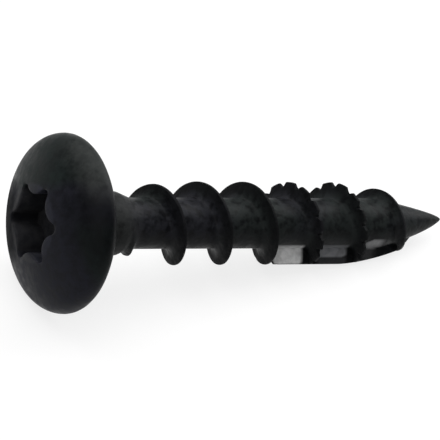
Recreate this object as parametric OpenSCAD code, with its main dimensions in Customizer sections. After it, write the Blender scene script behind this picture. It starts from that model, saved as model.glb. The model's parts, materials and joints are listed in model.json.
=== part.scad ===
// Multi-purpose screw, cold-headed and thread-rolled from one piece of steel wire.
// A pan head with a six-lobe recess stands on a plain neck. A coarse right-hand thread with a
// serrated stretch runs down the shank, and a cutting lip joins its last turns at the point.
// The screw is drawn along +Z, with the bearing face of the head at zero, the head below it
// and the point above it. Angles about its axis are counted from the cutting lip's front edge.
// It is then laid down as it rests, on the rim of its head and the edges of its flute.

/* [Head] */
// Diameter of the head at its widest
head_d = 8.7; // [7.2:0.1:11]
// Height of the head, from its bearing face to its crown
head_h = 2.5; // [2.3:0.05:3.5]
// Radius of the shoulder between the crown and the rim
shoulder_r = 1.1; // [0.8:0.05:1.3]
// Radius of the edge between the rim and the bearing face
rim_r = 0.5; // [0.3:0.05:0.6]

/* [Drive recess] */
// Distance across the tips of opposite lobes
recess_across = 3.94; // [3.3:0.01:4.5]
// Distance across the flutes between the lobes
recess_flutes = 2.85; // [2.4:0.01:3.1]
// Radius of a lobe's tip
lobe_r = 0.3; // [0.2:0.01:0.35]
// Depth of the recess's walls, below the crown
recess_depth = 1.7; // [1:0.05:1.9]
// Depth of the cone in the recess's floor
floor_cone_h = 0.35; // [0.1:0.05:0.5]
// Angle that the recess is turned by, about the axis
recess_turn = 39; // [0:1:59]

/* [Neck] */
// Diameter of the plain neck
neck_d = 3.1; // [2.8:0.05:3.4]
// Distance from the bearing face to where the neck starts to taper
neck_len = 2.3; // [2:0.05:2.8]
// Length of the taper, from the neck's diameter to the core's
neck_taper = 0.8; // [0.5:0.05:1.2]
// Radius of the fillet between the neck and the bearing face
neck_fillet = 0.45; // [0.2:0.05:0.6]

/* [Thread] */
// Length of the screw under its head
length = 22; // [18:0.5:38]
// Diameter over the thread's crest
thread_d = 4.1; // [3.8:0.05:5]
// Diameter of the core between the turns
core_d = 2.5; // [2.3:0.05:2.7]
// Distance between one turn and the next
pitch = 2.7; // [2.3:0.05:3]
// Width of the ridge at its root
ridge_w = 0.8; // [0.6:0.05:1.6]
// Width of the flat along the crest
crest_w = 0.14; // [0.08:0.02:0.3]
// How hollow the flanks are, where 1 is a straight flank
flank_hollow = 2; // [1:0.1:3]
// Distance from the bearing face to where the ridge starts to rise
rise_start = 1.8; // [1.5:0.1:2.2]
// Length over which the ridge rises to its full height
rise_len = 3.2; // [2:0.1:5]
// Angle at which the crest would reach the bearing face
thread_turn = 309; // [0:1:359]

/* [Serrations] */
// Notches in each turn of the crest
notches = 12.5; // [10:0.5:14]
// Depth of a notch
notch_depth = 0.3; // [0.1:0.05:0.4]
// Distance from the point back to the last notch
notch_end = 5.4; // [4:0.1:8]
// Length of the serrated stretch
notch_len = 5.3; // [2:0.1:10]

/* [Point] */
// Length over which the core tapers to the tip
point_len = 4; // [3:0.1:6]
// How the core comes down, where 1 is a straight cone and less is fuller
point_round = 0.7; // [0.6:0.05:1]
// How far the tip leans off the axis, away from the lip
tip_offset = 0.2; // [0:0.02:0.2]
// Distance from the tip to where the crest starts to come down
crest_taper_end = 6.4; // [4.5:0.1:8]
// How the crest comes down, where 1 is a straight cone and more is rounder
crest_taper_round = 1.6; // [1:0.1:2.5]
// Radius of the crest where the ridge ends
last_crest_r = 1.4; // [1.1:0.02:1.6]
// Distance from the tip to the end of the ridge
ridge_end = 1.9; // [1.5:0.1:2.5]
// Length over which the ridge fades out before its end
fade_len = 0.8; // [0.4:0.1:1.5]

/* [Cutting lip] */
// Length of the lip, up to the end of the ridge
lip_len = 8.9; // [4:0.1:10]
// Length over which the lip rises and its flute deepens
lip_rise = 0.6; // [0.5:0.1:3]
// How far the lip stays below the crest
lip_drop = 0; // [0:0.02:0.3]
// Distance from the axis to the flute's floor
flute_floor = 0.9; // [0.6:0.05:1.1]
// Angle that the flute takes up, behind the lip
flute_turn = 72; // [50:1:90]

/* [Hidden] */
$fn = 96;
coat_colour = [0.1, 0.1, 0.11];
// Allowance by which a cut starts outside what it cuts
clear = 0.5;
head_r = head_d / 2;
neck_r = neck_d / 2;
core_r = core_d / 2;
thread_r = thread_d / 2;

// Crown and shoulder of the head: two arcs that meet at a common tangent
shoulder_x = head_r - shoulder_r;
crown_rise = head_h - rim_r;
crown_r = (pow(shoulder_x, 2) + pow(crown_rise, 2) - pow(shoulder_r, 2))
    / (2 * (crown_rise - shoulder_r));
crown_z = crown_r - head_h;
tangent_a = atan2(shoulder_x, crown_r - crown_rise);
tangent_x = crown_r * sin(tangent_a);
tangent_z = crown_z - crown_r * cos(tangent_a);

// Six-lobe outline: each flute's arc touches the two lobes beside it
lobes = 6;
lobe_pitch = 360 / lobes;
lobe_x = recess_across / 2 - lobe_r;
flute_x = recess_flutes / 2;
half_cos = cos(lobe_pitch / 2);
flute_r = (pow(flute_x, 2) + pow(lobe_x, 2) - 2 * flute_x * lobe_x * half_cos - pow(lobe_r, 2))
    / (2 * (lobe_x * half_cos + lobe_r - flute_x));
flute_centre = (flute_x + flute_r) * [half_cos, sin(lobe_pitch / 2)];
touch_dir = (flute_centre - [lobe_x, 0]) / norm(flute_centre - [lobe_x, 0]);
touch = [lobe_x, 0] + lobe_r * touch_dir;
// Flat ring left round the cone in the recess's floor
floor_ring = 0.15;
floor_cone_r = flute_x - floor_ring;

// The threaded skin is a grid of points: columns a few degrees apart that climb with the helix,
// and in each column the rows of the ridge's section
notch_columns = 4;
notch_middle = floor(notch_columns / 2);
lip_columns = 2;
columns = notches * notch_columns;
column_a = 360 / columns;
flute_columns = floor(flute_turn / column_a);
flank_steps = 3;
rows = 2 * flank_steps + 2;
flank_w = (ridge_w - crest_w) / 2;
// The first turn is buried in the neck, this far below where the neck meets the core
start_cover = 0.25;
skin_start = neck_len + neck_taper - start_cover - pitch;
first_column = floor(columns * (skin_start / pitch + thread_turn / 360));
last_column = round(columns * ((length - ridge_end - ridge_w / 2) / pitch + thread_turn / 360));
end_column = last_column - columns + 1;
// Past the ridge's end, rings of points that crowd together towards the tip
end_rings = 4;
end_crowding = 1.5;
point_start = length - point_len;
taper_start = length - crest_taper_end;
fade_end = length - ridge_end;
lip_start = fade_end - lip_len;
notch_stop = length - notch_end;
notch_start = notch_stop - notch_len;

// A share that climbs from 0 to 1 as x goes from a to b
function climb(x, a, b) = min(1, max(0, (x - a) / (b - a)));

// Place of a row along the ridge's section, and the share of the ridge's height there
function row_offset(row) =
    row <= flank_steps
        ? flank_w * row / flank_steps
        : flank_w + crest_w + flank_w * (row - flank_steps - 1) / flank_steps;
function row_height(row) = pow(min(row, rows - 1 - row) / flank_steps, flank_hollow);
function row_place(column, row) =
    pitch * (column / columns - thread_turn / 360) - ridge_w / 2 + row_offset(row);

// Radii along the screw
function core_at(z) = core_r * pow(1 - climb(z, point_start, length), point_round);
function full_crest_at(z) =
    thread_r - (thread_r - last_crest_r)
        * pow(climb(z, taper_start, fade_end - fade_len), crest_taper_round);
function left_at(z) = 1 - climb(z, fade_end - fade_len, fade_end);
function ridge_share(z) = climb(z, rise_start, rise_start + rise_len) * left_at(z);
function crest_at(z) = core_at(z) + (full_crest_at(z) - core_at(z)) * ridge_share(z);

// In the serrated stretch, the middle column of each few stands at the bottom of a notch
function notch_at(column, z) =
    column % notch_columns == notch_middle && z > notch_start && z < notch_stop ? notch_depth : 0;
function ridge_at(column, row, z) =
    let (ridge = (crest_at(z) - core_at(z)) * row_height(row))
        max(0, ridge - notch_at(column, z) * floor(row_height(row)));

// Columns counted from the lip's front edge, towards its flute
function from_lip(column) = column - columns * floor(column / columns);
function lip_share(z) = climb(z, lip_start, lip_start + lip_rise);
function lip_at(column, z) =
    from_lip(column) < lip_columns && z > lip_start
        ? core_at(z) + (full_crest_at(z) - lip_drop - core_at(z)) * lip_share(z) * left_at(z)
        : 0;

// The flute is a plain notch behind the lip: one wall is the lip's back, the other is flat
function floor_at(z) =
    core_at(z) / core_r * (flute_floor + (thread_r + clear - flute_floor) * (1 - lip_share(z)));
function flute_at(column, z) =
    let (back = from_lip(column) - lip_columns)
        back >= 0 && back <= flute_columns ? floor_at(z) / cos(back * column_a) : thread_r;

// The point leans off the axis on its way to the tip
function axis_at(z) =
    [-tip_offset * pow(climb(z, point_start, length), 2), 0, 0];
function point_at(column, z, ridge) =
    let (
        a = column * column_a,
        r = min(max(core_at(z) + ridge, lip_at(column, z)), flute_at(column, z))
    )
        [r * cos(a), r * sin(a), z] + axis_at(z);
function strip_point(column, row) =
    let (z = row_place(column, row))
        point_at(column, z, ridge_at(column, row, z));
function end_share(ring) = 1 - pow(1 - ring / (end_rings + 1), end_crowding);
function end_point(ring, column) =
    let (z = row_place(column, rows - 1))
        point_at(column, z + (length - z) * end_share(ring), 0);

skin_points = concat(
    [for (column = [first_column:last_column]) for (row = [0:rows - 1]) strip_point(column, row)],
    [for (ring = [1:end_rings]) for (column = [end_column:last_column]) end_point(ring, column)],
    [[0, 0, row_place(first_column, 0)], [0, 0, length] + axis_at(length)]
);
tip_point = len(skin_points) - 1;
start_point = tip_point - 1;
function index(column, row) = (column - first_column) * rows + row;
function end_index(ring, step) =
    ring == 0
        ? index(end_column + step % columns, rows - 1)
        : index(last_column + 1, 0) + (ring - 1) * columns + step % columns;

// How the screw lies: its axis falls from the rim of its head until the thread touches the floor.
// It rolls to where the axis falls most, which is the lowest place for its weight.
edge_x = head_r - rim_r;
touching_points = [for (p = skin_points) if (p.z > length / 2) p];
function touching_slope(p, turn) =
    let (along = p.z + rim_r, fall = edge_x - p.x * cos(turn) - p.y * sin(turn))
        atan2(fall, along) + asin(rim_r / norm([along, fall]));
function slope_at(turn) = min([for (p = touching_points) touching_slope(p, turn)]);
function steepest(low, high, tries) =
    let (third = (high - low) / 3)
        tries == 0
            ? (low + high) / 2
            : slope_at(low + third) > slope_at(high - third)
                ? steepest(low, high - third, tries - 1)
                : steepest(low + third, high, tries - 1);
roll_tries = 24;
rest_turn = steepest(0, (lip_columns + flute_columns) * column_a, roll_tries);
rest_slope = slope_at(rest_turn);
rest_height = edge_x * cos(rest_slope) - rim_r * sin(rest_slope) + rim_r;
rest_back = crown_z * cos(rest_slope) - crown_r;
rest_middle = (rest_back + length * cos(rest_slope)) / 2;

// Half of the head's section, with its crown, shoulder, rim and bearing face
module head_profile() {
    translate([0, tangent_z])
        square([tangent_x, -tangent_z]);
    intersection() {
        translate([0, crown_z])
            circle(r = crown_r);
        translate([0, -head_h])
            square([tangent_x, head_h + tangent_z]);
    }
    intersection() {
        translate([shoulder_x, -rim_r])
            circle(r = shoulder_r);
        translate([tangent_x, tangent_z])
            square([head_r - tangent_x, -rim_r - tangent_z]);
    }
    translate([tangent_x, -rim_r])
        square([edge_x - tangent_x, rim_r]);
    intersection() {
        translate([edge_x, -rim_r])
            circle(r = rim_r);
        translate([edge_x, -rim_r])
            square(rim_r);
    }
}

// Half of the neck's section, from its fillet to where its taper dives into the core
module neck_profile() {
    dive = 1.3;
    difference() {
        square([neck_r + neck_fillet, neck_fillet]);
        translate([neck_r + neck_fillet, neck_fillet])
            circle(r = neck_fillet);
    }
    polygon([
        [0, 0],
        [neck_r, 0],
        [neck_r, neck_len],
        [neck_r + dive * (core_r - neck_r), neck_len + dive * neck_taper],
        [0, neck_len + dive * neck_taper],
    ]);
}

// Outline of the six-lobe recess
module recess_outline() {
    difference() {
        polygon([
            for (i = [0:lobes - 1]) for (side = [-1, 1])
                let (a = i * lobe_pitch)
                    [
                        touch.x * cos(a) - side * touch.y * sin(a),
                        touch.x * sin(a) + side * touch.y * cos(a),
                    ],
        ]);
        for (i = [0:lobes - 1])
            rotate((i + 0.5) * lobe_pitch)
                translate([flute_x + flute_r, 0])
                    circle(r = flute_r);
    }
    for (i = [0:lobes - 1])
        rotate(i * lobe_pitch)
            translate([lobe_x, 0])
                circle(r = lobe_r);
}

// The recess as it is punched, with straight walls and a shallow cone in its floor
module recess() {
    rotate(recess_turn) {
        translate([0, 0, -head_h - clear])
            linear_extrude(recess_depth + clear)
                recess_outline();
        translate([0, 0, recess_depth - head_h - clear])
            cylinder(h = clear, r = floor_cone_r);
        translate([0, 0, recess_depth - head_h])
            cylinder(h = floor_cone_h, r1 = floor_cone_r, r2 = 0);
    }
}

// Core, thread, lip and point as one closed skin, from inside the neck to the tip
module threaded_shank() {
    polyhedron(
        points = skin_points,
        faces = concat(
            [
                for (column = [first_column:last_column - 1]) for (row = [0:rows - 2])
                    [
                        index(column, row),
                        index(column, row + 1),
                        index(column + 1, row + 1),
                        index(column + 1, row),
                    ],
            ],
            [
                for (column = [first_column:last_column - columns - 1])
                    [
                        index(column, rows - 1),
                        index(column + columns, 0),
                        index(column + columns + 1, 0),
                        index(column + 1, rows - 1),
                    ],
            ],
            [
                for (row = [0:rows - 2])
                    [start_point, index(first_column, row + 1), index(first_column, row)],
            ],
            [[start_point, index(first_column + columns, 0), index(first_column, rows - 1)]],
            [
                for (column = [first_column:first_column + columns - 1])
                    [start_point, index(column, 0), index(column + 1, 0)],
            ],
            [
                for (row = [0:rows - 2])
                    [index(end_column, rows - 1), index(last_column, row), index(last_column, row + 1)],
            ],
            [[index(end_column, rows - 1), index(end_column - 1, rows - 1), index(last_column, 0)]],
            [
                for (ring = [0:end_rings - 1]) for (step = [0:columns - 1])
                    [
                        end_index(ring, step),
                        end_index(ring + 1, step),
                        end_index(ring + 1, step + 1),
                        end_index(ring, step + 1),
                    ],
            ],
            [
                for (step = [0:columns - 1])
                    [end_index(end_rings, step), tip_point, end_index(end_rings, step + 1)],
            ]
        )
    );
}

// The whole screw, laid on the rim of its head and on its thread
module screw() {
    color(coat_colour)
        translate([-rest_middle, 0, rest_height])
            rotate([0, 90 + rest_slope, 0])
                rotate(-rest_turn)
                    difference() {
                        union() {
                            rotate_extrude() {
                                head_profile();
                                neck_profile();
                            }
                            threaded_shank();
                        }
                        recess();
                    }
}

screw();
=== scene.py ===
"""A multi-purpose screw, with a six-lobe recess, a coarse notched thread, a cutting lip and a point."""

import json
import math

import bmesh
import bpy
from mathutils import Matrix, Vector


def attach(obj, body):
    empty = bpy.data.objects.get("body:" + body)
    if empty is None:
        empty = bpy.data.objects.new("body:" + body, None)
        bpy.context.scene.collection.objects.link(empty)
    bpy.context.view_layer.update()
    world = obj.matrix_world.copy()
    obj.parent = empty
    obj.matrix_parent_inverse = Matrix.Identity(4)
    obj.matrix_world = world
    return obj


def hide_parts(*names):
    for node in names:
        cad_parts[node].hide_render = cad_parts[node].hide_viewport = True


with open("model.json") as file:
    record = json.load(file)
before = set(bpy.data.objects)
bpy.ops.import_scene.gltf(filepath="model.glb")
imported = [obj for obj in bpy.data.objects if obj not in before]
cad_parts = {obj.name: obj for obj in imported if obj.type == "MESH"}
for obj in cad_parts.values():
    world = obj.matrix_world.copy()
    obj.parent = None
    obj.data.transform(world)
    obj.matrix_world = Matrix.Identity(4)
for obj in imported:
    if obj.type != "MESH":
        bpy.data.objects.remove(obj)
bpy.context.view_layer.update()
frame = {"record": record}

# How the screw lies. It is drawn along its own axis, with the bearing face of its head at zero and angles
# counted from the front edge of its cutting lip. It rests on its head's rim and on the edges of its flute.
MM = 0.001
head_h = 2.5
mounts = {mount["name"]: mount for mount in frame["record"]["mounts"]}
to_tip = Vector(mounts["head_underside"]["axis"]).normalized()
seat = Vector(mounts["drive_recess"]["pos_m"]) + to_tip * head_h * MM
to_lip = Vector(mounts["head_underside"]["pos_m"]) - seat
to_lip = (to_lip - to_lip.dot(to_tip) * to_tip).normalized()
screw_axes = Matrix((to_lip, to_tip.cross(to_lip), to_tip)).transposed().to_4x4()

# The photograph's view, from the head's end and side, with the cutting lip along the bottom of the picture.
# The seat is the middle of the bearing face, and the widths and the distance are in pixels of the picture.
picture_w = 440
seat_x = 72.3
seat_y = 223.3
pixels_a_mm = 20.85
pixel = MM / pixels_a_mm
view_distance = 4000
view_turn = math.radians(33.7)
facing = to_tip.cross(-to_lip)
to_camera = math.cos(view_turn) * facing - math.sin(view_turn) * to_tip
to_right = math.cos(view_turn) * to_tip + math.sin(view_turn) * facing
to_top = -to_lip
view_middle = seat - to_right * (seat_x - picture_w / 2) * pixel + to_top * (seat_y - picture_w / 2) * pixel
picture_axes = Matrix((to_right, to_top, to_camera)).transposed().to_4x4()
camera = bpy.data.objects.new("camera", bpy.data.cameras.new("camera"))
camera.matrix_world = Matrix.Translation(view_middle + to_camera * view_distance * pixel) @ picture_axes
camera.data.angle = 2 * math.atan(picture_w / 2 / view_distance)
camera.data.clip_start = 10 * MM
bpy.context.scene.collection.objects.link(camera)
bpy.context.scene.camera = camera


# The screw is one piece of steel wire: its head is pressed, its thread and point are rolled between dies,
# and its lip is cut last. One node tree draws it, as three grids of points that meet edge to edge.
class Value:
    """What a node gives, which Python's operators pass on to Math nodes."""

    def __init__(self, tree, socket):
        self.tree = tree
        self.socket = socket

    def math(self, operation, *others):
        return self.tree.node("ShaderNodeMath", {"operation": operation}, dict(enumerate((self, *others))))

    def after(self, operation, first):
        return self.tree.node("ShaderNodeMath", {"operation": operation}, {0: first, 1: self})

    def __add__(self, other):
        return self.math("ADD", other)

    __radd__ = __add__

    def __sub__(self, other):
        return self.math("SUBTRACT", other)

    def __rsub__(self, other):
        return self.after("SUBTRACT", other)

    def __mul__(self, other):
        return self.math("MULTIPLY", other)

    __rmul__ = __mul__

    def __truediv__(self, other):
        return self.math("DIVIDE", other)

    def __rtruediv__(self, other):
        return self.after("DIVIDE", other)

    def __pow__(self, other):
        return self.math("POWER", other)

    def __neg__(self):
        return self * -1

    def __abs__(self):
        return self.math("ABSOLUTE")

    def __lt__(self, other):
        return self.math("LESS_THAN", other)

    def __gt__(self, other):
        return self.math("GREATER_THAN", other)

    def sin(self):
        return self.math("RADIANS").math("SINE")

    def cos(self):
        return self.math("RADIANS").math("COSINE")

    def sqrt(self):
        return self.math("SQRT")

    def at_least(self, other):
        return self.math("MAXIMUM", other)

    def at_most(self, other):
        return self.math("MINIMUM", other)

    def share(self, start, end):
        """How far the value has come from start to end, from 0 to 1."""
        return ((self - start) / (end - start)).at_least(0).at_most(1)


class Tree:
    """A node tree that is written as formulas."""

    def __init__(self, tree):
        self.tree = tree

    def node(self, kind, settings=None, sockets=None, output=0):
        """A new node: its settings first, then the value, the link or the links of each socket named."""
        made = self.tree.nodes.new(kind)
        for name, value in (settings or {}).items():
            setattr(made, name, value)
        for name, value in (sockets or {}).items():
            if isinstance(value, (Value, list)):
                for link in [value] if isinstance(value, Value) else value:
                    self.tree.links.new(link.socket, made.inputs[name])
            else:
                made.inputs[name].default_value = value
        return Value(self, made.outputs[output] if made.outputs else None)


screw = Tree(bpy.data.node_groups.new("screw_form", "GeometryNodeTree"))
screw.tree.interface.new_socket("Screw", in_out="OUTPUT", socket_type="NodeSocketGeometry")
screw_sizes = {}
size_inputs = screw.tree.nodes.new("NodeGroupInput")


def size(name, value):
    """A named input of the tree: millimetres, degrees, or a plain share or power."""
    made = screw.tree.interface.new_socket(name, in_out="INPUT", socket_type="NodeSocketFloat")
    screw_sizes[made.identifier] = value
    return Value(screw, size_inputs.outputs[made.identifier])


# Points round the head and the point, and in each turn of the thread.
columns = 300
column_a = 360 / columns


def grid(steps, rows):
    """A grid of points, and the step and the row that each point is on, counted from 0."""
    mesh = screw.node("GeometryNodeMeshGrid", {}, {"Vertices X": steps + 1, "Vertices Y": rows + 1})
    index = screw.node("GeometryNodeInputIndex")
    half_point = 0.5
    step = ((index + half_point) / (rows + 1)).math("FLOOR")
    return mesh, step, index - step * (rows + 1)


def place(mesh, angle, radius, along, lean=0):
    """The grid with its points at these angles and radii, this far along the axis and leaning this far."""
    position = screw.node("ShaderNodeCombineXYZ", {}, {
        "X": radius * angle.cos() + lean, "Y": radius * angle.sin(), "Z": along})
    return screw.node("GeometryNodeSetPosition", {}, {"Geometry": mesh, "Position": position})


def passed(row, stretches):
    """For each stretch of rows, the share of it that a row has passed."""
    shares = {}
    first = 0
    for name, rows in stretches.items():
        shares[name] = row.share(first, first + rows)
        first += rows
    return shares


# The pan head is pressed from the end of the steel wire, and a six-lobe punch leaves the recess in it. The
# rows of its grid run from the middle of the recess's floor over the crown, round the rim and down the neck.
head_height = size("Head height", head_h)
head_r = size("Head radius", 4.35)
shoulder_r = size("Shoulder radius", 1.1)
rim_r = size("Rim radius", 0.5)
lobe_r = size("Lobe radius", 0.3)
lobe_x = size("Recess radius at its lobes", mounts["drive_recess"]["dims"]["r_mm"]) - lobe_r
flute_x = size("Recess radius at its flutes", 1.425)
recess_depth = size("Recess depth", mounts["drive_recess"]["dims"]["length_mm"])
recess_turn = size("Recess turn", 39)
cone_r = size("Floor cone radius", 1.275)
cone_h = size("Floor cone depth", 0.35)
mouth_r = size("Mouth rounding", 0.09)
neck_r = size("Neck radius", 1.55)
neck_len = size("Neck length", 2.3)
neck_fillet = size("Neck fillet", 0.45)

profile_rows = {
    "cone": 3, "ring": 2, "wall": 4, "mouth": 4, "crown": 14,
    "shoulder": 12, "rim": 6, "face": 3, "fillet": 6, "neck": 4,
}
mesh, column, row = grid(columns, sum(profile_rows.values()))
on = passed(row, profile_rows)
angle = column * column_a

half_lobe_a = 30
half_cos = math.cos(math.radians(half_lobe_a))
half_sin = math.sin(math.radians(half_lobe_a))
flute_r = (flute_x ** 2 + lobe_x ** 2 - flute_x * lobe_x * 2 * half_cos - lobe_r ** 2) / (
    (lobe_x * half_cos + lobe_r - flute_x) * 2)
flute_d = flute_x + flute_r
touch_share = lobe_r / (flute_r + lobe_r)
touch_x = lobe_x + touch_share * (flute_d * half_cos - lobe_x)
touch_y = touch_share * flute_d * half_sin
from_lobe = (angle - recess_turn).math("PINGPONG", half_lobe_a)
from_flute = half_lobe_a - from_lobe
lobe_edge = lobe_x * from_lobe.cos() + (lobe_r ** 2 - (lobe_x * from_lobe.sin()) ** 2).sqrt()
flute_edge = flute_d * from_flute.cos() - (flute_r ** 2 - (flute_d * from_flute.sin()) ** 2).sqrt()
on_lobe = from_lobe < touch_y.math("ARCTAN2", touch_x).math("DEGREES")
outline = flute_edge + (lobe_edge - flute_edge) * on_lobe

shoulder_x = head_r - shoulder_r
crown_rise = head_height - rim_r
crown_r = (shoulder_x ** 2 + crown_rise ** 2 - shoulder_r ** 2) / ((crown_rise - shoulder_r) * 2)
crown_z = crown_r - head_height
tangent_a = shoulder_x.math("ARCTAN2", crown_r - crown_rise).math("DEGREES")


def crown_at(radius):
    """Where the crown is along the axis, at a radius."""
    return crown_z - (crown_r ** 2 - radius ** 2).sqrt()


floor_z = recess_depth - head_height
mouth_x = outline + mouth_r
crown_x = mouth_x + (crown_r * tangent_a.sin() - mouth_x) * on["crown"]
shoulder_a = tangent_a + (90 - tangent_a) * on["shoulder"]
radius = (
    cone_r * on["cone"]
    + (outline - cone_r) * on["ring"]
    + mouth_r * (1 - (on["mouth"] * 90).cos())
    + (crown_x - mouth_x)
    + shoulder_r * (shoulder_a.sin() - tangent_a.sin())
    - rim_r * (1 - (on["rim"] * 90).cos())
    - (head_r - rim_r - neck_r - neck_fillet) * on["face"]
    - neck_fillet * (on["fillet"] * 90).sin()
)
along = (
    floor_z + cone_h * (1 - on["cone"])
    + (crown_at(mouth_x) + mouth_r - floor_z) * on["wall"]
    - mouth_r * (on["mouth"] * 90).sin()
    + (crown_at(crown_x) - crown_at(mouth_x))
    - shoulder_r * (shoulder_a.cos() - tangent_a.cos())
    + rim_r * (on["rim"] * 90).sin()
    + neck_fillet * (1 - (on["fillet"] * 90).cos())
    + (neck_len - neck_fillet) * on["neck"]
)
head = place(mesh, angle, radius, along)

# The threaded shank is rolled from the wire between two dies, which press the notches in its crest as well.
# A lip and the flute behind it are cut along the last turns. The steps of its grid follow the helix, which
# keeps the crest, the notches and the fading ends crisp.
pitch_mm = 2.7
thread_turn_a = 309
length = size("Length", mounts["threaded_shank"]["dims"]["length_mm"])
thread_r = size("Thread radius", mounts["threaded_shank"]["dims"]["r_mm"])
core_r = size("Core radius", 1.25)
pitch = size("Pitch", pitch_mm)
thread_turn = size("Thread turn", thread_turn_a)
ridge_w = size("Ridge width", 0.8)
crest_w = size("Crest width", 0.14)
flank_hollow = size("Flank hollow", 2)
crest_round = size("Crest rounding", 0.08)
rise_start = size("Thread start", 1.8)
rise_len = size("Thread rise", 3.2)
neck_taper = size("Neck taper", 0.8)
neck_blend = size("Neck blend", 0.06)
notch_pitch = size("Angle between notches", 28.8)
notch_w = size("Angle of a notch", 14.4)
notch_depth = size("Notch depth", 0.3)
notch_stop = length - size("Last notch from the tip", 5.4)
notch_start = notch_stop - size("Length of the notches", 5.3)
notch_fade = size("Notch fade", 0.3)
taper_start = length - size("Crest taper from the tip", 6.4)
taper_round = size("Crest taper rounding", 1.6)
last_crest_r = size("Last crest radius", 1.4)
ridge_stop = length - size("Thread end from the tip", 1.9)
fade_start = ridge_stop - size("Thread fade", 0.8)
point_start = length - size("Point length", 4)
point_round = size("Point rounding", 0.7)
tip_offset = size("Tip offset", 0.2)
lip_start = ridge_stop - size("Lip length", 8.9)
lip_rise = size("Lip rise", 0.6)
lip_front_a = size("Angle of the lip's front", 3.6)
lip_top_a = size("Angle of the lip's top", 7.2)
lip_back_a = lip_top_a + size("Angle of the lip's back", 7.2)
flute_floor = size("Flute floor from the axis", 0.9)
flute_a = size("Angle of the flute", 72)
flute_rise = size("Flute floor beyond the crest", 0.5)
flute_flare = size("Flute flare", 0.94)


def core_at(along):
    """Radius of the core, which comes down to nothing at the tip."""
    return core_r * (1 - along.share(point_start, length)) ** point_round


def crest_at(along):
    """Radius of the full crest, which comes down towards the point."""
    return thread_r - (thread_r - last_crest_r) * along.share(taper_start, fade_start) ** taper_round


def left_at(along):
    """Share that is left of the ridge and the lip, as both fade out before the tip."""
    return 1 - along.share(fade_start, ridge_stop)


def lean_at(along):
    """How far the point leans off the axis, away from the lip."""
    return -tip_offset * along.share(point_start, length) ** 2


def cut(angle, along, rolled):
    """Radius of the rolled shank once its lip is raised and the flute behind it is cut."""
    from_lip = angle.math("WRAP", 180, -180)
    core = core_at(along)
    risen = along.share(lip_start, lip_start + lip_rise)
    on_lip = from_lip.share(-lip_front_a, 0) * (1 - from_lip.share(lip_back_a - column_a, lip_back_a))
    crest = crest_at(along)
    lip = core + (crest - core) * risen * left_at(along) * on_lip
    floor = core / core_r * (flute_floor + (thread_r + flute_rise - flute_floor) * (1 - risen))
    past_back = (from_lip - lip_back_a).at_least(0).at_most(flute_a)
    flute = floor / (past_back * flute_flare).cos()
    flute = flute + (crest - floor) * (1 - from_lip.share(lip_top_a, lip_back_a))
    return rolled.at_least(lip).at_most(flute)


section_rows = {"before": 5, "rise": 6, "crest": 3, "fall": 6, "after": 5}
thread_columns = ((ridge_stop - neck_len + pitch) / pitch * columns).math("CEIL")
mesh, column, row = grid(thread_columns, sum(section_rows.values()))
on = passed(row, section_rows)
half_turn = 0.5
first_angle = ((thread_turn + (neck_len / pitch - half_turn) * 360) / column_a).math("ROUND") * column_a
angle = first_angle + column * column_a
crest_z = pitch * (angle - thread_turn) / 360
before = pitch * (first_angle - thread_turn) / 360 - (neck_len - pitch) - ridge_w / 2
flank_w = (ridge_w - crest_w) / 2
from_crest = (
    before * (on["before"] - 1)
    - ridge_w / 2
    + flank_w * (on["rise"] + on["fall"])
    + crest_w * on["crest"]
    + (pitch - before - ridge_w) * on["after"]
)
along = (crest_z + from_crest).at_least(neck_len).at_most(ridge_stop)
flank = ((ridge_w / 2 - abs(along - crest_z)) / flank_w).at_least(0) ** flank_hollow
in_notch = 1 - ((angle - notch_pitch / 2).math("PINGPONG", notch_pitch / 2) / (notch_w / 2)).at_most(1)
notched = along.share(notch_start, notch_start + notch_fade) * (
    1 - along.share(notch_stop, notch_stop + notch_fade))
crest = 1 - in_notch * notched * notch_depth / (thread_r - core_r)
grown = along.share(rise_start, rise_start + rise_len)
ridge_h = (crest_at(along) - core_at(along)) * grown * left_at(along)
ridged = core_at(along) + ridge_h * flank.math("SMOOTH_MIN", crest, crest_round)
neck = neck_r - (neck_r - core_r) * (along - neck_len) / neck_taper
rolled = ridged.math("SMOOTH_MAX", neck, neck_blend)
shank = place(mesh, angle, cut(angle, along, rolled), along, lean_at(along))

# The dies roll the end of the core to a sharp point. Its rows crowd towards the tip.
point_rows = 16
point_crowding = 1.8
mesh, column, row = grid(columns, point_rows)
angle = column * column_a
along = ridge_stop + (length - ridge_stop) * (1 - (1 - row / point_rows) ** point_crowding)
point = place(mesh, angle, cut(angle, along, core_at(along)), along, lean_at(along))

# The black coat is baked on once the thread is rolled. It is thin and dull, bluish and greenish in patches,
# and greyer on the shank. Painted light makes it paler on the neck and in the recess, and a painted
# highlight lies on the upper rim. Painted shade darkens the ridge, the low side of the shank and the head's
# near and far sides.
coat_material = bpy.data.materials.new("black_coat")
coat_material.use_nodes = True
coat = Tree(coat_material.node_tree)
coat.tree.nodes.clear()
position = coat.node("ShaderNodeTexCoord", output="Object")
on_screw = coat.node("ShaderNodeMapping", {"vector_type": "TEXTURE"}, {
    "Vector": position, "Location": seat, "Rotation": screw_axes.to_euler(), "Scale": (MM, MM, MM)})
place_x = coat.node("ShaderNodeSeparateXYZ", {}, {"Vector": on_screw}, output="X")
place_y = coat.node("ShaderNodeSeparateXYZ", {}, {"Vector": on_screw}, output="Y")
place_z = coat.node("ShaderNodeSeparateXYZ", {}, {"Vector": on_screw}, output="Z")
place_r = (place_x ** 2 + place_y ** 2).sqrt()


def noise(waves, roughness=0.5):
    """Noise from 0 to 1, with this many waves a millimetre and finer ones laid over them."""
    finer_layers = 2
    return coat.node("ShaderNodeTexNoise", {}, {
        "Vector": on_screw, "Scale": waves, "Detail": finer_layers, "Roughness": roughness})


def mix(share, first, second):
    """A colour between two others."""
    return coat.node("ShaderNodeMix", {"data_type": "RGBA"}, {0: share, 6: first, 7: second}, output=2)


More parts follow.
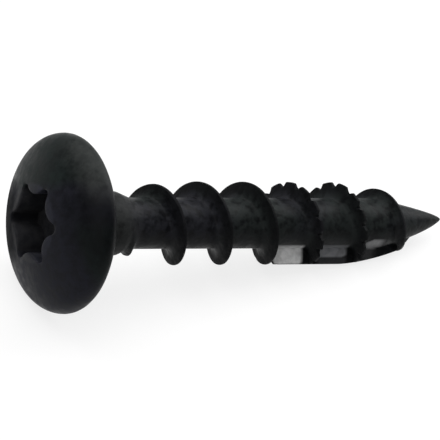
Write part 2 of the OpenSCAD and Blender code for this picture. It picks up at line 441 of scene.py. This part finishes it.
# A border is where a share is 0 and where it is 1, in millimetres: z along the axis, r away from it, x down
# the picture or up it, and y away from the camera or towards it.
head_end_z = 0, 0.5
neck_end_z = 2, 3.4
ridge_foot_r = 1.4, 1.7
low_side_x = 0.2, 1.1
near_side_y = 2, 3.6
near_side_x = 1, 3
far_side_y = 1.2, 1.9
far_side_x = 1.2, 2.2
upper_rim_r = 3.2, 4.1
upper_rim_x = 0.8, 2
upper_rim_y = 0.5, 2
recess_wall_r = 1.85, 1.99
recess_mouth_z = -0.5, 0
recess_floor_z = -2.45, -2.3
on_head = 1 - place_z.share(*head_end_z)
on_neck = (1 - on_head) * (1 - place_z.share(*neck_end_z))
on_ridge = place_r.share(*ridge_foot_r) * (1 - on_head)
on_low_side = (1 - on_head) * (1 - on_neck) * place_x.share(*low_side_x)
on_near_side = on_head * (-place_y).share(*near_side_y) * (1 - abs(place_x).share(*near_side_x))
on_far_side = on_head * place_y.share(*far_side_y) * (1 - abs(place_x).share(*far_side_x))
on_upper_rim = on_head * place_r.share(*upper_rim_r)
on_upper_rim = on_upper_rim * (-place_x).share(*upper_rim_x) * (-place_y).share(*upper_rim_y)
in_recess = (1 - place_r.share(*recess_wall_r)) * (1 - place_z.share(*recess_mouth_z))
in_recess = in_recess * place_z.share(*recess_floor_z)

# Clouds half as wide as the head draw the greenish patches of the shank, and make those of the head drift
# by up to a millimetre. Blotches a tenth as wide make the coat pale and dull by turns, over a fine grain.
cloud_waves = 0.22
cloud_border = 0.42, 0.54
blotch_waves = 2.3
blotch_border = 0.36, 0.64
blotch_raggedness = 0.6
grain_waves = 14
green_upper_x = 1.6, 2.2
green_near_y = 3.0, 3.5
green_lower_x = -0.4, 0.4
cloud = noise(cloud_waves)
drift = cloud * 2 - 1
blotches = noise(blotch_waves, blotch_raggedness).share(*blotch_border)
grain = noise(grain_waves)
green_upper = (drift - place_x).share(*green_upper_x)
green_near = (drift - place_y).share(*green_near_y) * (drift + place_x).share(*green_lower_x)
greenish = on_head * green_upper.at_least(green_near) + (1 - on_head) * cloud.share(*cloud_border)


def blotched(share, least, most):
    """A share that the blotches make uneven, between these two parts of it."""
    return share * (least + blotches * (most - least))


# The coat's colours. The pale share of it keeps its colour, and the rest is nearly black.
blue_black = (0.0180, 0.0187, 0.0272, 1)
green_black = (0.0145, 0.0208, 0.0200, 1)
grey_black = (0.0220, 0.0226, 0.0226, 1)
dull_black = (0.0030, 0.0032, 0.0038, 1)
painted_light_black = (0.036, 0.038, 0.037, 1)
# Painted light for the recess, on its near and far sides, which lifts it out of its shade.
recess_near_painted_light = (0.0240, 0.0250, 0.0340, 1)
recess_far_painted_light = (0.0270, 0.0270, 0.0290, 1)
recess_middle_y = -0.6, 0.8
shank_grey = 0.5
least_pale = 0.25
head_pale = 0.15
head_even = 0.6
painted_shade = 0.7
pale = blotches * (1 - on_head * head_even) + least_pale + on_head * head_pale
pale = pale.at_most(1)
# Painted shade darkens the ridge, the head's near and far sides and the low side of the shank.
for shaded_place in (on_ridge, on_near_side + on_far_side, on_low_side):
    pale = pale * (1 - shaded_place * painted_shade)
# The recess's lighter colour is painted light that lifts it out of its shade.
recess_painted_light = mix(place_y.share(*recess_middle_y), recess_near_painted_light, recess_far_painted_light)
colour = mix(greenish, blue_black, green_black)
colour = mix((1 - on_head) * shank_grey, colour, grey_black)
colour = mix(pale, dull_black, colour)
# Painted light makes the neck paler, and a painted highlight lies on the upper rim.
colour = mix(blotched(on_neck + on_upper_rim, least=0.35, most=0.75), colour, painted_light_black)
colour = mix(blotched(in_recess, least=0.5, most=1), colour, recess_painted_light)

# A painted highlight lies on the front of the cutting lip between the ridges of the last turns, and on a
# narrow strip of the core above it. It is bright where the lip starts and grey further on. Its upper and
# lower borders both rise towards the point.
highlight_white = (0.9, 0.9, 0.9, 1)
highlight_grey = (0.27, 0.275, 0.29, 1)
highlight_tip_grey = (0.42, 0.42, 0.43, 1)
grey_start_z = 13, 14.5
tip_start_z = 16, 16.5
highlight_start_z = 11.3, 11.7
highlight_stop_z = 17.6, 18.0
highlight_near_y = -1.1, -1
highlight_far_y = 0.0, 0.04
highlight_upper_x = 1.06
highlight_lower_x = 2.1
upper_rise = 0.28
upper_rise_z = 16.5, 17.2
lower_first_rise = 0.34
lower_first_rise_z = 13.2, 14.2
lower_last_rise = 0.4
lower_last_rise_z = 15.8, 17.2
border_w = 0.12
least_highlight = 0.15
ridge_edge_z = 0.4, 0.6
place_a = place_y.math("ARCTAN2", place_x).math("DEGREES")
from_ridge = place_z - (place_a - thread_turn_a) / 360 * pitch_mm
from_ridge = from_ridge.math("WRAP", pitch_mm / 2, -pitch_mm / 2)
highlight_upper = highlight_upper_x - place_z.share(*upper_rise_z) * upper_rise
highlight_lower = highlight_lower_x - place_z.share(*lower_first_rise_z) * lower_first_rise
highlight_lower = highlight_lower - place_z.share(*lower_last_rise_z) * lower_last_rise
lip_front = (
    place_y.share(*highlight_near_y)
    * (1 - place_y.share(*highlight_far_y))
    * ((place_x - highlight_upper) / border_w).at_least(0).at_most(1)
    * ((highlight_lower - place_x) / border_w).at_least(least_highlight).at_most(1)
    * place_z.share(*highlight_start_z)
    * (1 - place_z.share(*highlight_stop_z))
)
lip_highlight = lip_front * abs(from_ridge).share(*ridge_edge_z)
highlight_colour = mix(place_z.share(*grey_start_z), highlight_white, highlight_grey)
highlight_colour = mix(place_z.share(*tip_start_z), highlight_colour, highlight_tip_grey)
colour = mix(blotched(lip_highlight, least=0.7, most=1), colour, highlight_colour)

# The coat scatters the light widely, most of all on the ridge and the head's far side, and its blotches and
# its grain stand a little proud.
coat_rough = 0.36
blotch_rough = 0.16
ridge_rough = 0.2
far_side_rough = 0.4
coat_gloss = 0.07
bump_share = 0.6
bump_h = 0.02
grain_share = 0.15
head_smooth = 0.7
bumps = coat.node("ShaderNodeBump", {}, {
    "Strength": bump_share, "Distance": bump_h * MM,
    "Height": blotches * (1 - on_head * head_smooth) + grain * grain_share})
rough = coat_rough + blotches * blotch_rough + on_ridge * ridge_rough + on_far_side * far_side_rough
surface = coat.node("ShaderNodeBsdfPrincipled", {}, {
    "Base Color": colour, "Roughness": rough, "Normal": bumps, "Specular IOR Level": coat_gloss})
coat.node("ShaderNodeOutputMaterial", {}, {"Surface": surface})

# The head, the shank and the point are one piece of wire, so the three grids become one closed skin with
# crisp edges. It takes the place of the plain screw.
same_point = 0.0002
sharp_a = 32
whole = screw.node("GeometryNodeJoinGeometry", {}, {"Geometry": [head, shank, point]})
whole = screw.node("GeometryNodeMergeByDistance", {}, {"Geometry": whole, "Distance": same_point})
whole = screw.node("GeometryNodeSetShadeSmooth", {"domain": "FACE"}, {
    "Geometry": whole, "Shade Smooth": True})
whole = screw.node("GeometryNodeSetShadeSmooth", {"domain": "EDGE"}, {
    "Geometry": whole, "Shade Smooth": False,
    "Selection": screw.node("GeometryNodeInputMeshEdgeAngle") > math.radians(sharp_a)})
whole = screw.node("GeometryNodeRealizeInstances", {}, {"Geometry": whole})
whole = screw.node("GeometryNodeSetMaterial", {}, {"Geometry": whole, "Material": coat_material})
screw.node("NodeGroupOutput", {}, {"Screw": whole})

form = bpy.data.objects.new("screw_form", bpy.data.meshes.new("screw_form"))
bpy.context.scene.collection.objects.link(form)
modifier = form.modifiers.new("screw_form", "NODES")
modifier.node_group = screw.tree
for identifier, value in screw_sizes.items():
    modifier[identifier] = float(value)
evaluated = form.evaluated_get(bpy.context.evaluated_depsgraph_get())
body_mesh = bpy.data.meshes.new_from_object(evaluated)
bpy.data.objects.remove(form)
body_mesh.transform(Matrix.Translation(seat) @ screw_axes @ Matrix.Scale(MM, 4))
skin = bmesh.new()
skin.from_mesh(body_mesh)
bmesh.ops.recalc_face_normals(skin, faces=skin.faces)
skin.to_mesh(body_mesh)
skin.free()
body = bpy.data.objects.new("screw_body", body_mesh)
bpy.context.scene.collection.objects.link(body)
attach(body, "root")
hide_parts("screw")

# The floor is a wide sheet of white paper, which the camera and the coat's gloss see as white, and which
# keeps the screw's soft shadow.
floor_w = 3
paper_grey = (0.25, 0.25, 0.25, 1)
paper_white = 0.78
floor_mesh = bpy.data.meshes.new("floor")
sheet = bmesh.new()
bmesh.ops.create_grid(sheet, x_segments=1, y_segments=1, size=floor_w / 2)
sheet.to_mesh(floor_mesh)
sheet.free()
paper_material = bpy.data.materials.new("white_paper")
paper_material.use_nodes = True
paper = Tree(paper_material.node_tree)
paper.tree.nodes.clear()
seen = paper.node("ShaderNodeLightPath", output="Is Camera Ray")
seen = seen + paper.node("ShaderNodeLightPath", output="Is Glossy Ray")
seen = seen + paper.node("ShaderNodeLightPath", output="Is Transmission Ray")
white = paper.node("ShaderNodeAddShader", {}, {
    0: paper.node("ShaderNodeBsdfDiffuse", {}, {"Color": paper_grey}),
    1: paper.node("ShaderNodeEmission", {}, {"Strength": seen.at_most(1) * paper_white})})
paper.node("ShaderNodeOutputMaterial", {}, {"Surface": white})
floor_mesh.materials.append(paper_material)
floor = bpy.data.objects.new("floor", floor_mesh)
bpy.context.scene.collection.objects.link(floor)

# The light is that of a small studio: soft boxes above, beside and in front of the screw, in a dim room.
lamp_distance = 0.6
room_grey = (0.05, 0.05, 0.05, 1)


def softbox(name, right, up, near, width, level):
    """A square lamp that faces the screw. A small one at level 1 lights a white sheet just to white."""
    data = bpy.data.lights.new(name, "AREA")
    data.shape = "SQUARE"
    data.size = width
    data.energy = level * (math.pi * lamp_distance) ** 2
    lamp = bpy.data.objects.new(name, data)
    side = (right * to_right + up * to_top + near * to_camera).normalized()
    turned = side.to_track_quat("Z", "Y").to_matrix().to_4x4()
    lamp.matrix_world = Matrix.Translation(side * lamp_distance) @ turned
    bpy.context.scene.collection.objects.link(lamp)


softbox("top_light", right=0.0, up=0.95, near=0.3, width=0.9, level=1.3)
softbox("right_light", right=0.75, up=0.62, near=-0.18, width=0.4, level=0.55)
softbox("front_light", right=-0.05, up=0.15, near=1, width=1.0, level=0.6)
world = bpy.data.worlds.new("room")
world.use_nodes = True
world.node_tree.nodes["Background"].inputs["Color"].default_value = room_grey
bpy.context.scene.world = world
bpy.context.scene.view_settings.view_transform = "Standard"
